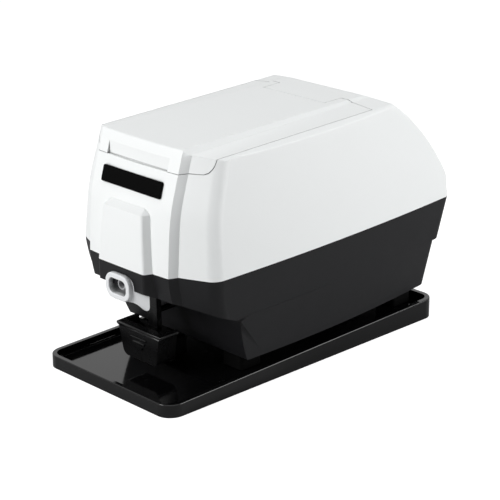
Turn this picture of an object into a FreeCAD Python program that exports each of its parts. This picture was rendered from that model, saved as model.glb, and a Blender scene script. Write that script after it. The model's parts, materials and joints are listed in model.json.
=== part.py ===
import FreeCAD
import Part
import math
import os

# Countertop hot lather machine on its drip tray. Millimetres, +Z up, the spout faces -Y.
# The machine is drawn level and then tilted about X, because it stands on a wedge shaped tray.
V = FreeCAD.Vector
X_AXIS, Y_AXIS, Z_AXIS = V(1, 0, 0), V(0, 1, 0), V(0, 0, 1)

# ---- driving dimensions ----------------------------------------------------------------------
# drip tray
tray_length = 305.0
tray_width = 149.5
tray_tilt = 1.3                     # degrees, the rear of the dish stands higher
tray_rim_height = 14.0              # rim above the table at mid length
tray_depth = 7.0                    # rim down to the dish floor
tray_rim_width = 4.0
tray_corner = 13.0
tray_edge_round = 0.8

# machine casing, heights above the tray's mid point
seam_height = 101.5                 # joint between the white top and the black base
top_height = 198.0
base_height = 24.0                  # underside of the casing
casing_half_width = 81.2            # widest place of the seam
casing_front = -123.9               # front of the raised middle band at the seam
casing_rear = 170.5
wall = 3.0

# plan of the casing at the seam
band_half = 46.2                    # raised middle band
band_crown = 2.0
band_step_x = 3.5
band_step_y = 7.1
cheek_width = 20.0                  # flat beside the band
cheek_sweep = 8.4
front_corner = 13.0
rear_corner = 10.0
side_front_in = 2.1                 # the side wall bows: its ends stand in by these
side_rear_in = 5.6
rear_crown = 2.5

# leans of the walls, in degrees
lean_low = 3.8
lean_high = 18.3
lean_bend_height = 149.0
lean_bend_softness = 12.0
side_draft_top = 6.1
side_draft_base = 6.6
rear_draft_base = 11.6
chin_lean = 5.0
chin_curl = 0.0035                  # per mm, how fast the chin curls under
chin_knee_y = -77.0                 # where the nose's underside meets the lower front wall
chin_knee_z = 61.0
chin_slope = 0.446                  # rise of the nose's underside towards the front

# rear slope of the top, as distances in front of casing_rear and below top_height
slope_top_run = 74.0
slope_mid_run = 36.0
slope_mid_drop = 31.5
slope_foot_run = 4.6
slope_foot_drop = 76.0

# top deck and lid
band_top_half_front = 45.6
band_top_half_rear = 42.4
band_bevel = 3.5
shoulder_drop_front = 4.7           # lid shoulder below the band, at the band's foot
shoulder_drop_rear = 1.5
shoulder_fall = 0.115               # slope of the shoulder, sideways
shoulder_end_y = 112.0              # the shoulders run out into the rear slope before this
rim_start = 67.6                    # outside the lid the rim falls away more steeply
rim_fall = 0.6
lid_half_width = 66.5
lid_lip_height = 180.5
lid_lip_half = 60.0
lid_wall = 2.2
lid_gap = 0.45
tongue_half = 35.0                  # fixed tongue between the lid's two hinge arms
hinge_y = 67.5
hinge_drop = 8.0                    # hinge axis below the top
hinge_swing = 12.4                  # radius of the pocket behind the lid's arms
hinge_tongue = 12.5                 # radius of the tongue's rounded front
hinge_gap = 0.45                    # radial gap of both rounded hinge joints
hinge_knuckle = 4.6
hinge_pin_radius = 1.5
pin_clearance = 0.05
lid_side_gap = 0.35
lip_corner_rise = 10.5              # height of the curve at the lid's lower front corners
shelf_thick = 2.5                   # rim of the casing that the lid rests over
shelf_reach = 5.0
scoop_half = 34.8
scoop_depth = 2.2
scoop_height = 9.5

# raised front panel and badge
panel_half = 26.5
panel_bevel_run = 2.0               # the side bevel runs back by this much of its width
panel_depth = 7.8
panel_sink = 2.0                    # the bevel runs on this far behind the band's face
panel_top = 151.5
panel_narrowing = 4.5               # the panel is this much narrower on each side at its top
panel_corner = 8.0
panel_top_bevel = 5.0
panel_round = 1.8
shoulder_round = 3.2
front_round = 2.0
crest_round = 12.0
slope_round = 3.0
badge_half = 34.0
badge_height = 13.0
badge_thick = 0.9
badge_centre = 166.5

# spout and its seat
spout_axis = 86.0
spout_face = -136.0
spout_half_width = 14.0
spout_half_height = 10.4
spout_bore_half_width = 9.9
spout_bore_half_height = 6.1
spout_bore_depth = 9.0
spout_corner = 8.5                  # corner radius of the mouth
spout_length = 11.5                 # mouth to the rear of the flare
spout_neck = 4.0                    # straight part behind the mouth
spout_leg_half = 24.5
spout_leg_drop = 17.5
spout_leg_width = 6.5
spout_arch = 11.0                   # top of the arch between the legs, below the axis

# push button, a lever that hangs under the nose
pivot_y = -101.0
pivot_z = 77.5
pivot_radius = 1.8
pivot_hub = 3.8
hub_room = 7.2                      # half length of the slot in the nose that the lever hangs through
lug_thick = 4.0
button_front = -117.1
button_top = 45.2
button_lip_half = 26.0
button_half_top = 24.1
button_half_bottom = 19.6
button_bottom = 17.9
button_lean = 1.4
button_lip_thick = 2.6
button_lip_depth = 7.5
button_depth = 20.0
button_wall = 2.4
button_corner = 6.0
stem_half = 5.5
stem_thick = 5.0
stem_lead = 1.0                     # stem's front face ahead of the pivot's centre
side_play = 0.35

# pushrod and switch
rod_drop = 22.5                     # pushrod below the pivot
rod_radius = 2.5
rod_tip_gap = 0.3
collar_y = -66.0
bracket_y = -47.0
bracket_thick = 2.5
switch_y = -38.0
switch_depth = 16.0
switch_half = 10.0
plunger_radius = 1.6
spring_wire = 0.9
spring_radius = 4.2
spring_turns = 6

# chamber, drive and motor
drive_axis = 90.0
chamber_front = -95.0
chamber_rear = -45.0
chamber_radius = 15.0
chamber_bore = 11.0
flange_radius = 20.0
flange_thick = 3.0
cap_thick = 8.0
nozzle_axis = 87.0
nozzle_radius = 4.5
nozzle_bore = 3.2
nozzle_tip = -131.2
heater_x = 19.0
heater_radius = 4.0
whipper_radius = 9.5
shaft_radius = 3.0
shaft_play = 0.04
bush_radius = 6.0
stay_thick = 3.0                    # sheet of the chamber stay and of the motor cradle
motor_front = -3.0
stack_front = 10.0
stack_length = 26.0
stack_half = 26.0
coil_length = 8.0
coil_outer = 21.0
rotor_radius = 15.0
rotor_gap = 0.5
bolt_pitch = 21.0
bolt_radius = 1.9
motor_rear = 49.0
fan_front = 57.0
fan_radius = 24.0
fan_blades = 6
fan_width = 8.0
cradle_top = 76.0

# soap reservoir
deck_height = 176.6
deck_thick = 2.8
tank_half = 47.0
tank_front = -88.0
tank_rear = 36.0
tank_bottom = 124.0
tank_wall = 2.0
tank_flange = 5.0
tank_corner = 9.0
feed_y = -56.0
spigot_radius = 4.0
spigot_bore = 2.5
seal_radius = 6.0
boss_radius = 8.5
strainer_radius = 12.0
loose_fit = 0.4

# bottom plate, feet, screws
plate_thick = 3.0
foot_half = 11.0
foot_x = 44.0
foot_front_y = -48.0
foot_rear_y = 131.0
foot_stud = 3.0
post_x = 63.8
post_half = 5.5
post_front_y = -40.0
post_rear_y = 112.0
post_rise = 22.0
joint_screw_seat = 84.0
plate_screw_x = 30.0
plate_screw_y = -57.0
plate_side_y = 36.0
screw_radius = 1.5
screw_head_radius = 2.9
screw_head_height = 2.0

# rear fittings
rocker_x = -34.0
rocker_z = 82.0
rocker_half_x = 10.4
rocker_half_z = 7.2
rocker_axle = -3.0                  # axle of the key behind the wall's face
rocker_angle = 16.0
gland_x = 36.0
gland_z = 47.0
gland_radius = 7.5
gland_bore = 3.6
gland_length = 14.0

REACH = 400.0                       # a length past every part, for cutting tools

# heights, places and screws that follow from the sizes above
hinge_z = top_height - hinge_drop
plate_top = base_height + plate_thick
seal_top = 116.0                    # where the tank's spigot enters the chamber's boss
seal_outer = 7.0
stay_front = chamber_rear + cap_thick
stay_rear = stay_front + stay_thick
stay_screw_y = stay_front + 11
rod_z = pivot_z - rod_drop
rod_tip_y = pivot_y - stem_lead + stem_thick + rod_tip_gap
rod_end_y = switch_y - 5.0
bracket_screw_y = switch_y + 10
joint_posts = [(s * post_x, y) for s in (1, -1) for y in (post_front_y, post_rear_y)]
plate_posts = [(s * plate_screw_x, plate_screw_y) for s in (1, -1)]
plate_posts += [(s * post_x, plate_side_y) for s in (1, -1)]
terminal_screw = (30.0, 91.0)
feet = [(s * foot_x, y) for s in (1, -1) for y in (foot_front_y, foot_rear_y)]
cradle_screws = [(s * 19.0, y) for s in (1, -1) for y in (12.0, 40.0)]
inner_screws = cradle_screws + [(s * 23.0, stay_screw_y) for s in (1, -1)]
inner_screws += [(-13.0, bracket_screw_y), (13.0, bracket_screw_y), terminal_screw]
press_mark = [(0.0, 37.0, 9.0, 0.9), (0.0, 33.0, 6.5, 0.9), (0.0, 29.0, 4.0, 0.9)]
bolt_places = [(sx * bolt_pitch, drive_axis + sz * bolt_pitch)
               for sx in (1, -1) for sz in (1, -1)]


# ---- helpers ---------------------------------------------------------------------------------
def box(x0, x1, y0, y1, z0, z1):
    return Part.makeBox(x1 - x0, y1 - y0, z1 - z0, V(x0, y0, z0))


def rod(radius, start, axis, length):
    return Part.makeCylinder(radius, length, start, axis)


def ring(outer, inner, start, axis, length):
    return rod(outer, start, axis, length).cut(rod(inner, start, axis, length))


def prism(points, direction):
    return Part.Face(Part.makePolygon(points + [points[0]])).extrude(direction)


def loop(edges):
    return Part.Wire(Part.__sortEdges__(edges))


def line(a, b):
    return Part.LineSegment(a, b).toShape()


def arc(a, b, c):
    return Part.Arc(a, b, c).toShape()


def tan(degrees):
    return math.tan(math.radians(degrees))


def rounded_plan(half_x, y0, y1, radius, z):
    """Closed wire of a rectangle with round corners, level at z."""
    k = radius * (1 - math.sqrt(0.5))
    xs, edges = half_x, []
    corners = [(xs, y0, 1, -1), (xs, y1, 1, 1), (-xs, y1, -1, 1), (-xs, y0, -1, -1)]
    for i, (cx, cy, sx, sy) in enumerate(corners):
        first = V(cx - sx * radius, cy, z) if sx * sy < 0 else V(cx, cy - sy * radius, z)
        last = V(cx, cy - sy * radius, z) if sx * sy < 0 else V(cx - sx * radius, cy, z)
        edges.append(arc(first, V(cx - sx * k, cy - sy * k, z), last))
        nx, ny, nsx, nsy = corners[(i + 1) % 4]
        following = V(nx - nsx * radius, ny, z) if nsx * nsy < 0 else V(nx, ny - nsy * radius, z)
        edges.append(line(last, following))
    return loop(edges)


def rounded_block(half_x, y0, y1, radius, z0, z1):
    return Part.Face(rounded_plan(half_x, y0, y1, radius, z0)).extrude(V(0, 0, z1 - z0))


def upright_loop(half_width, z0, z1, low_radius, high_radius, y):
    """Closed upright wire of a rectangle with round corners, in the plane at y."""
    corners = [(1, z0, 1, low_radius), (1, z1, -1, high_radius),
               (-1, z1, -1, high_radius), (-1, z0, 1, low_radius)]
    points, edges = [], []
    for i, (side, z, into, radius) in enumerate(corners):
        bulge = radius * (1 - math.sqrt(0.5))
        below = V(side * (half_width - radius), y, z)
        beside = V(side * half_width, y, z + into * radius)
        middle = V(side * (half_width - bulge), y, z + into * bulge)
        first, last = (below, beside) if i in (0, 2) else (beside, below)
        edges.append(arc(first, middle, last))
        points.append((first, last))
    for i in range(4):
        edges.append(line(points[i][1], points[(i + 1) % 4][0]))
    return loop(edges)


def edges_where(shape, test):
    return [e for e in shape.Edges if test(e.BoundBox)]


def side_profile(points, half_x):
    """Solid between -half_x and half_x with the outline points given as (y, z)."""
    return prism([V(-half_x, y, z) for y, z in points], V(2 * half_x, 0, 0))


# ---- casing shape ----------------------------------------------------------------------------
def front_offset(z):
    """How far the front stands behind casing_front at height z."""
    if z < seam_height:
        drop = seam_height - z
        return drop * tan(chin_lean) + chin_curl * drop * drop
    rise = z - lean_bend_height
    bend = (rise + math.hypot(rise, lean_bend_softness)) / 2
    return (z - seam_height) * tan(lean_low) + (tan(lean_high) - tan(lean_low)) * bend


def side_offset(z):
    if z < seam_height:
        return (seam_height - z) * tan(side_draft_base)
    return (z - seam_height) * tan(side_draft_top)


def rear_offset(z):
    return max(0.0, seam_height - z) * tan(rear_draft_base)


def casing_section(z, inset=0.0, rear_step=0.0, side_step=0.0):
    """Closed plan outline of the casing at height z."""
    front = casing_front + front_offset(z) + inset
    narrow = side_offset(z) + inset
    side = casing_half_width - narrow
    band = band_half - inset
    cheek_x = band + band_step_x + cheek_width - narrow / 2
    cheek_y = front + band_step_y + cheek_sweep
    corner_y = cheek_y + front_corner
    rear = casing_rear - rear_offset(z) - inset - rear_step
    side_front = side - side_front_in
    side_rear = side - side_rear_in - side_step
    side_mid_y = (corner_y + rear) / 2
    rear_start = rear - rear_corner
    bow = 0.3                       # the corner arcs bulge by this share of their chord
    edges = []
    for s in (1, -1):
        step = V(s * (band + band_step_x), front + band_step_y, z)
        cheek = V(s * cheek_x, cheek_y, z)
        corner = V(s * side_front, corner_y, z)
        outward = V(s * (corner_y - cheek_y), -(side_front - cheek_x), 0)
        corner_mid = (cheek + corner) * 0.5 + outward * bow * 0.6
        tail = V(s * side_rear, rear_start, z)
        rear_end = V(s * (side_rear - rear_corner), rear, z)
        rear_mid = V(s * (side_rear - rear_corner * 0.293), rear - rear_corner * 0.293, z)
        edges.append(line(V(s * band, front, z), step))
        edges.append(line(step, cheek))
        edges.append(arc(cheek, corner_mid, corner))
        edges.append(arc(corner, V(s * side, side_mid_y, z), tail))
        edges.append(arc(tail, rear_mid, rear_end))
    edges.append(arc(V(-band, front, z), V(0, front - band_crown, z), V(band, front, z)))
    half = side_rear - rear_corner
    edges.append(arc(V(-half, rear, z), V(0, rear + rear_crown, z), V(half, rear, z)))
    return loop(edges)


def rear_slope(inset=0.0):
    """Solid in front of the sloping rear of the top, as wide as the casing and more."""
    top = top_height - inset
    rear = casing_rear - inset
    half_x = casing_half_width + wall
    crest = V(-half_x, rear - slope_top_run, top)
    middle = V(-half_x, rear - slope_mid_run, top - slope_mid_drop)
    foot = V(-half_x, rear - slope_foot_run, top - slope_foot_drop)
    tail = V(-half_x, rear + 3 * wall, seam_height - 3 * wall)
    front_low = V(-half_x, -REACH, seam_height - 3 * wall)
    front_top = V(-half_x, -REACH, top)
    outline = loop([
        line(front_top, crest),
        arc(crest, middle, foot),
        line(foot, tail),
        line(tail, front_low),
        line(front_low, front_top),
    ])
    return Part.Face(outline).extrude(V(2 * half_x, 0, 0))


def top_body(inset=0.0):
    """The casing above the seam, filled."""
    heights = [seam_height, 120.0, 136.0, lean_bend_height, 162.0, 178.0, top_height]
    sections = [casing_section(z, inset) for z in heights]
    body = Part.makeLoft(sections, True, False)
    return body.common(rear_slope(inset))


def rear_ledge_height():
    return seam_height - 36.9


def base_body(inset=0.0):
    """The casing below the seam, filled, with the step across its rear."""
    ledge = rear_ledge_height()
    upper = [casing_section(z, inset) for z in (seam_height, 90.0, 78.0, ledge)]
    lower = [casing_section(z, inset, 3.0, 1.5) for z in (ledge, base_height)]
    return Part.makeLoft(upper, True, False).fuse(Part.makeLoft(lower, True, True))


def chin_cut(inset=0.0):
    """Space under the nose, in front of the lower front wall."""
    half_x = casing_half_width + 3 * wall
    knee = V(-half_x, chin_knee_y + inset, chin_knee_z + inset)
    nose = V(-half_x, -160.0, chin_knee_z + inset + chin_slope * (160.0 + chin_knee_y + inset))
    shin = V(-half_x, chin_knee_y + 3.6 + inset, 43.0)
    foot = V(-half_x, chin_knee_y + 10.4 + inset, base_height)
    outline = loop([
        line(nose, knee),
        arc(knee, shin, foot),
        line(foot, foot + V(0, 0, -20)),
        line(foot + V(0, 0, -20), V(-half_x, -160.0, base_height - 20)),
        line(V(-half_x, -160.0, base_height - 20), nose),
    ])
    return Part.Face(outline).extrude(V(2 * half_x, 0, 0))


def panel_section(z, front, half, share):
    """Plan outline of the raised panel at height z; share is how much of its bevel is left."""
    back = casing_front + 40.0
    shoulder = front + panel_depth * share + panel_sink
    base = half + (shoulder - front) / panel_bevel_run
    setback = panel_round * share
    edges = []
    for s in (1, -1):
        corner = V(s * half, front, z)
        beside = V(s * base, shoulder, z)
        slant = (beside - corner).normalize() * setback
        inward = V(-s * setback, 0, 0)
        edges.append(arc(corner + inward, corner + (inward + slant) * 0.25, corner + slant))
        edges.append(line(corner + slant, beside))
        edges.append(line(beside, V(s * base, back, z)))
    edges.append(line(V(-half + setback, front, z), V(half - setback, front, z)))
    edges.append(line(V(-base, back, z), V(base, back, z)))
    return loop(edges)


def front_panel(inset=0.0):
    """Raised door shaped panel on the nose, filled."""
    top = panel_top - inset
    bend = top - panel_corner
    heights = [40.0, seam_height, 118.0, 131.0]
    heights += [bend + panel_corner * math.sin(math.radians(a)) for a in (0, 22, 40, 56, 72, 90)]
    sections = []
    for z in heights:
        rise = max(0.0, z - seam_height) / (panel_top - seam_height)
        turn = math.sqrt(max(0.0, 1 - (max(0.0, z - bend) / panel_corner) ** 2))
        share = min(1.0, max(0.06, (top - z) / panel_top_bevel))
        depth = panel_depth * share if z < top - 0.01 else -0.6
        front = casing_front + front_offset(max(z, seam_height)) - depth + inset
        half = panel_half - panel_narrowing * rise - panel_corner * (1 - turn) - inset
        sections.append(panel_section(z, front, half, share))
    return Part.makeLoft(sections, True, True)


# ---- white top -------------------------------------------------------------------------------
def shoulder_cut(inset=0.0):
    """Space above the lowered shoulders on both sides of the middle band."""
    cutters = []
    for s in (1, -1):
        sections = []
        for y in (-160.0, shoulder_end_y):
            share = (y - casing_front) / (shoulder_end_y - casing_front)
            half = band_top_half_front + (band_top_half_rear - band_top_half_front) * share - inset
            drop = shoulder_drop_front + (shoulder_drop_rear - shoulder_drop_front) * share + inset
            foot_x = half + band_bevel
            rim_x = rim_start - inset / 2
            rim_z = top_height - drop - shoulder_fall * (rim_x - foot_x)
            outer = casing_half_width + 20
            sections.append(Part.makePolygon([
                V(s * foot_x, y, top_height - drop),
                V(s * rim_x, y, rim_z),
                V(s * outer, y, rim_z - rim_fall * (outer - rim_x)),
                V(s * outer, y, top_height + 20),
                V(s * half, y, top_height + 20),
                V(s * half, y, top_height - inset),
                V(s * foot_x, y, top_height - drop),
            ]))
        cutters.append(Part.makeLoft(sections, True, True))
    return cutters[0].fuse(cutters[1])


def top_outer():
    """The whole white top as a filled solid, lid included."""
    crest_y = casing_rear - slope_top_run
    body = top_body()
    crest = edges_where(body, lambda b: b.ZMin > top_height - 0.1 and b.YMin > crest_y - 1
                        and b.XLength > 100)
    body = body.makeFillet(crest_round, crest)
    body = body.cut(shoulder_cut())
    shoulders = edges_where(body, lambda b: b.YLength > 100 and top_height - 14 < b.ZMin
                            and b.ZMax < top_height - 1 and min(abs(b.XMin), abs(b.XMax)) > 68.3)
    body = body.makeFillet(shoulder_round, shoulders)
    front = edges_where(body, lambda b: b.ZMin > top_height - 0.1 and b.YMax < casing_front + 24)
    body = body.makeFillet(front_round, front)
    sides = edges_where(body, lambda b: b.YMin > hinge_y + 8 and b.YMax < casing_rear + 0.5
                        and b.ZMin > seam_height + 10 and b.YLength > 3
                        and min(abs(b.XMin), abs(b.XMax)) > 62)
    body = body.makeFillet(slope_round, sides)
    panel = front_panel()
    panel = panel.common(box(-REACH, REACH, -REACH, REACH, seam_height, REACH))
    return body.fuse(panel).removeSplitter()


def top_inner(inset):
    body = top_body(inset).cut(shoulder_cut(inset))
    panel = front_panel(inset).common(box(-REACH, REACH, -REACH, REACH, seam_height, REACH))
    return body.fuse(panel)


def hinge_rod(radius, half_x):
    return rod(radius, V(-half_x, hinge_y, hinge_z), X_AXIS, 2 * half_x)


def lid_zone(swing, tongue, grow):
    """Block that holds the lid: in front of the hinge, without the fixed tongue."""
    half = lid_half_width + grow
    low = lid_lip_height - grow
    lip = lid_lip_half + grow
    corner = half - lip
    turn = []
    for angle in (0, 30, 50, 68, 90):
        a = math.radians(angle)
        turn.append((lip + corner * math.sin(a), low + lip_corner_rise * (1 - math.cos(a))))
    outline = [V(x, -REACH, z) for x, z in turn] + [V(half, -REACH, REACH), V(-half, -REACH, REACH)]
    outline += [V(-x, -REACH, z) for x, z in reversed(turn)]
    front = prism(outline, V(0, REACH + hinge_y, 0))
    zone = front.fuse(hinge_rod(swing, half))
    half_tongue = tongue_half + (lid_side_gap if grow == 0 else 0)
    core = hinge_rod(tongue, half_tongue)
    rear = box(-half_tongue, half_tongue, hinge_y, hinge_y + 2 * swing, hinge_z - 2 * swing, REACH)
    return zone.cut(core.fuse(rear))


def screw(x, y, z, length, up=True):
    """Pan head screw with a cross recess; z is the underside of the head."""
    sign = 1 if up else -1
    shank = rod(screw_radius, V(x, y, z), V(0, 0, sign), length)
    head = rod(screw_head_radius, V(x, y, z), V(0, 0, -sign), screw_head_height)
    slot_z = z - sign * screw_head_height
    cross = box(x - 2, x + 2, y - 0.3, y + 0.3, slot_z - 1, slot_z + 1)
    cross = cross.fuse(box(x - 0.3, x + 0.3, y - 2, y + 2, slot_z - 1, slot_z + 1))
    return shank.fuse(head).cut(cross)


def mouth_hole(x, z, radius, y0, y1):
    return rod(radius, V(x, y0, z), Y_AXIS, y1 - y0)


outer_top = top_outer()
outer_base = base_body().cut(chin_cut())
nose = front_panel().common(box(-REACH, REACH, -REACH, REACH, 0, seam_height)).cut(chin_cut())
outer_base = outer_base.fuse(nose)


def make_lid():
    skin = outer_top.common(lid_zone(hinge_swing - hinge_gap, hinge_tongue + hinge_gap, 0))
    skin = skin.cut(top_inner(lid_wall))
    scoop = lid_scoop()
    shell = skin.cut(scoop)
    ribs = []
    for x in (-26.0, 0.0, 26.0):
        rib = box(x - 0.9, x + 0.9, pivot_y + 14, hinge_y - hinge_tongue - 8, hinge_z - 2, REACH)
        ribs.append(rib.common(top_inner(lid_wall - 0.5)))
    shell = shell.multiFuse(ribs)
    for s in (1, -1):
        x0 = min(s * (tongue_half + lid_side_gap), s * (tongue_half + 8))
        knuckle = rod(hinge_knuckle, V(x0, hinge_y, hinge_z), X_AXIS, 8 - lid_side_gap)
        web = box(x0, x0 + 8 - lid_side_gap, hinge_y - 3, hinge_y + 3, hinge_z, hinge_z + 5)
        shell = shell.fuse(knuckle).fuse(web)
    shell = shell.cut(hinge_rod(hinge_pin_radius + pin_clearance, lid_half_width))
    return shell.removeSplitter()


def lid_scoop():
    """Shallow finger recess in the lid's front lip: it grows deeper towards the lip."""
    crease_z = lid_lip_height + scoop_height
    crease_y = casing_front + front_offset(crease_z)
    floor = top_body()
    floor.rotate(V(0, crease_y, crease_z), X_AXIS, math.degrees(math.atan(scoop_depth / scoop_height)))
    space = box(-scoop_half, scoop_half, crease_y - 20, crease_y + 25, lid_lip_height - 1, crease_z)
    return space.cut(floor)


def make_top():
    full = top_inner(wall - 0.4)
    lid_box = lid_zone(hinge_swing, hinge_tongue, lid_gap)
    frame = lid_zone(hinge_swing, hinge_tongue, lid_gap + 2)
    frame = frame.cut(lid_zone(hinge_swing, hinge_tongue, -shelf_reach))
    frame = frame.cut(box(-REACH, REACH, hinge_y - 2 * hinge_swing, REACH, 0, REACH))
    skin = top_inner(lid_wall + lid_side_gap)
    shelf = skin.cut(top_inner(lid_wall + lid_side_gap + shelf_thick)).common(frame)
    shell = outer_top.cut(top_inner(wall)).fuse(shelf).cut(lid_box.cut(shelf))
    deck = box(-REACH, REACH, -REACH, hinge_y + 18, deck_height - deck_thick, deck_height)
    hole = rounded_block(tank_half + loose_fit, tank_front - loose_fit, tank_rear + loose_fit,
                         tank_corner + loose_fit, 0, REACH)
    deck = deck.common(full).cut(hole)
    back_wall = box(-REACH, REACH, hinge_y + 15.5, hinge_y + 18, deck_height - 1, REACH).common(full)
    shell = shell.fuse(deck).fuse(back_wall)
    pocket = hinge_rod(hinge_swing, lid_half_width + lid_gap)
    keep = box(-tongue_half, tongue_half, -REACH, REACH, 0, REACH)
    shell = shell.cut(pocket.cut(keep))
    for s in (1, -1):
        x0 = min(s * tongue_half, s * (tongue_half - 10))
        knuckle = rod(hinge_knuckle, V(x0, hinge_y, hinge_z), X_AXIS, 10)
        web = box(x0, x0 + 10, hinge_y, hinge_y + 16, hinge_z - 4, top_height - 1)
        web = web.common(full)
        shell = shell.fuse(knuckle).fuse(web)
    shell = shell.cut(hinge_rod(hinge_pin_radius, tongue_half + 1))
    for x, y in joint_posts:
        post = box(x - post_half, x + 20, y - post_half, y + post_half,
                   seam_height, seam_height + post_rise)
        if x < 0:
            post = box(x - 20, x + post_half, y - post_half, y + post_half, seam_height,
                       seam_height + post_rise)
        shell = shell.fuse(post.common(full))
        shell = shell.cut(rod(screw_radius, V(x, y, seam_height - 1), Z_AXIS, post_rise - 3))
    return shell.removeSplitter()


# ---- black base ------------------------------------------------------------------------------
def base_inner(inset):
    """Room inside the base, open at the seam and at the bottom."""
    core = base_body(inset).cut(chin_cut(inset)).fuse(base_room_below(inset))
    panel = front_panel(inset).common(box(-REACH, REACH, -REACH, REACH, 0, seam_height))
    return core.fuse(panel.cut(chin_cut(inset)))


def base_room_below(inset):
    floor = Part.Face(casing_section(base_height, inset, 3.0, 1.5)).extrude(V(0, 0, -5))
    return floor.cut(chin_cut(inset))


def wall_post(x, y, z0, z1):
    """Square post against the side wall at (x, y)."""
    inner_x, outer_x = (x - post_half, x + 25) if x > 0 else (x - 25, x + post_half)
    return box(inner_x, outer_x, y - post_half, y + post_half, z0, z1)


def rear_wall_y(z):
    return casing_rear - rear_offset(z) - (3.0 if z < rear_ledge_height() else 0)


def make_base():
    shell = outer_base.cut(base_inner(wall))
    full = outer_base.common(base_inner(wall - 0.4))
    posts = [wall_post(x, y, plate_top, seam_height) for x, y in joint_posts]
    posts += [wall_post(x, y, plate_top, plate_top + 14) for x, y in plate_posts[2:]]
    for x, y in plate_posts[:2]:
        posts.append(box(x - post_half, x + post_half, chin_knee_y, y + post_half, plate_top,
                         plate_top + 14))
    for s in (1, -1):
        x0 = min(s * (stem_half + 2 + side_play), s * (stem_half + 2 + side_play + lug_thick))
        posts.append(box(x0, x0 + lug_thick, pivot_y - 5, pivot_y + 5, 60, pivot_z + 5))
    guide = mouth_hole(0, pivot_z - rod_drop, rod_radius + 3, chin_knee_y - 1, chin_knee_y + 8)
    posts.append(guide)
    for post in posts:
        shell = shell.fuse(post.common(full))
    for x, y in joint_posts:
        shell = shell.cut(rod(screw_radius + 0.2, V(x, y, 0), Z_AXIS, seam_height + 5))
        shell = shell.cut(rod(screw_head_radius + 0.4, V(x, y, 0), Z_AXIS, joint_screw_seat))
    for x, y in plate_posts:
        shell = shell.cut(rod(screw_radius, V(x, y, 0), Z_AXIS, plate_top + 11))
    half = stem_half + 2 + side_play
    slot = box(-half, half, pivot_y - hub_room, pivot_y + hub_room, 40, pivot_z + pivot_hub + 0.7)
    shell = shell.cut(slot)
    shell = shell.cut(rod(pivot_radius, V(-20, pivot_y, pivot_z), X_AXIS, 40))
    shell = shell.cut(mouth_hole(0, pivot_z - rod_drop, rod_radius + 0.06, chin_knee_y - 5,
                                 chin_knee_y + 12))
    shell = shell.cut(mouth_hole(0, nozzle_axis, nozzle_radius + 0.3, -140, chamber_front - 3))
    for s in (1, -1):
        shell = shell.cut(mouth_hole(s * 12, spout_axis + 3, 1.6, -140, -120))
    shell = shell.cut(rocker_body(0.1).fuse(rocker_flat()))
    shell = shell.cut(gland_body(0.02).fuse(gland_flat()))
    return shell.fuse(seam_lip_ring()).removeSplitter()


def seam_lip_ring():
    """Locating rim that stands up inside the top, tied to the base wall."""
    z0 = seam_height - 4
    outer = Part.Face(casing_section(seam_height, wall + 0.6)).extrude(V(0, 0, 2.5))
    inner = Part.Face(casing_section(seam_height, wall + 2.2)).extrude(V(0, 0, 2.5))
    rim = outer.cut(inner)
    tie_out = Part.Face(casing_section(z0, wall - 0.6)).extrude(V(0, 0, seam_height - z0))
    tie_in = Part.Face(casing_section(z0, wall + 2.2)).extrude(V(0, 0, seam_height - z0))
    clear = box(-REACH, REACH, -REACH, -96, seam_height, REACH)
    for x, y in joint_posts:
        clear = clear.fuse(wall_post(x, y, seam_height, REACH))
    rim = rim.cut(clear)
    return rim.fuse(tie_out.cut(tie_in).cut(box(-REACH, REACH, -REACH, -96, 0, REACH)))


def tilted_on_rear(shape, x, z):
    """Turns a shape drawn about the origin, facing +Y, onto the rear wall."""
    shape.rotate(V(0, 0, 0), X_AXIS, -rear_draft_base)
    shape.translate(V(x, rear_wall_y(z) + rear_crown * (1 - (x / 74.0) ** 2), z))
    return shape


def rocker_body(grow):
    body = box(-rocker_half_x - grow, rocker_half_x + grow, -14, 6, -rocker_half_z - grow,
               rocker_half_z + grow)
    return tilted_on_rear(body, rocker_x, rocker_z)


def rocker_collar(grow, thick):
    """The switch's collar, or the flat seat for it in the rear wall."""
    half_x = rocker_half_x + 1.5 + grow
    half_z = rocker_half_z + 1.2 + grow
    return box(-half_x, half_x, 0.2, thick, -half_z, half_z)


def rocker_flat():
    return tilted_on_rear(rocker_collar(0.2, 8.0), rocker_x, rocker_z)


def make_rocker_frame():
    frame = box(-rocker_half_x, rocker_half_x, -14, 0.5, -rocker_half_z, rocker_half_z)
    frame = frame.fuse(rocker_collar(0, 2.0))
    key_x = rocker_half_x - 1.3
    frame = frame.cut(box(-key_x, key_x, -9, 6, -rocker_half_z + 1.3, rocker_half_z - 1.3))
    frame = frame.cut(rod(1.0, V(-key_x - 0.8, rocker_axle, 0), X_AXIS, 2 * key_x + 1.6))
    for x in (-5.0, 5.0):
        frame = frame.fuse(box(x - 0.4, x + 0.4, -21, -14, -3, 3))
    return tilted_on_rear(frame, rocker_x, rocker_z)


def make_rocker():
    half = rocker_half_x - 1.6
    outline = [(2.0, -4.9), (0.9, 0), (2.0, 4.9), (-2.0, 4.9), (-5.0, 3.0), (-5.0, -3.0), (-2.0, -4.9)]
    key = side_profile(outline, half)
    key = key.fuse(rod(0.95, V(-half - 0.9, rocker_axle, 0), X_AXIS, 2 * half + 1.8))
    key.rotate(V(0, rocker_axle, 0), X_AXIS, -rocker_angle / 2)
    return tilted_on_rear(key, rocker_x, rocker_z)


def gland_body(grow):
    return tilted_on_rear(rod(gland_radius + grow, V(0, -gland_length / 2, 0), Y_AXIS,
                              gland_length + 10), gland_x, gland_z)


def gland_flat():
    return tilted_on_rear(rod(gland_radius + 3, V(0, 0.2, 0), Y_AXIS, 10), gland_x, gland_z)


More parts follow.
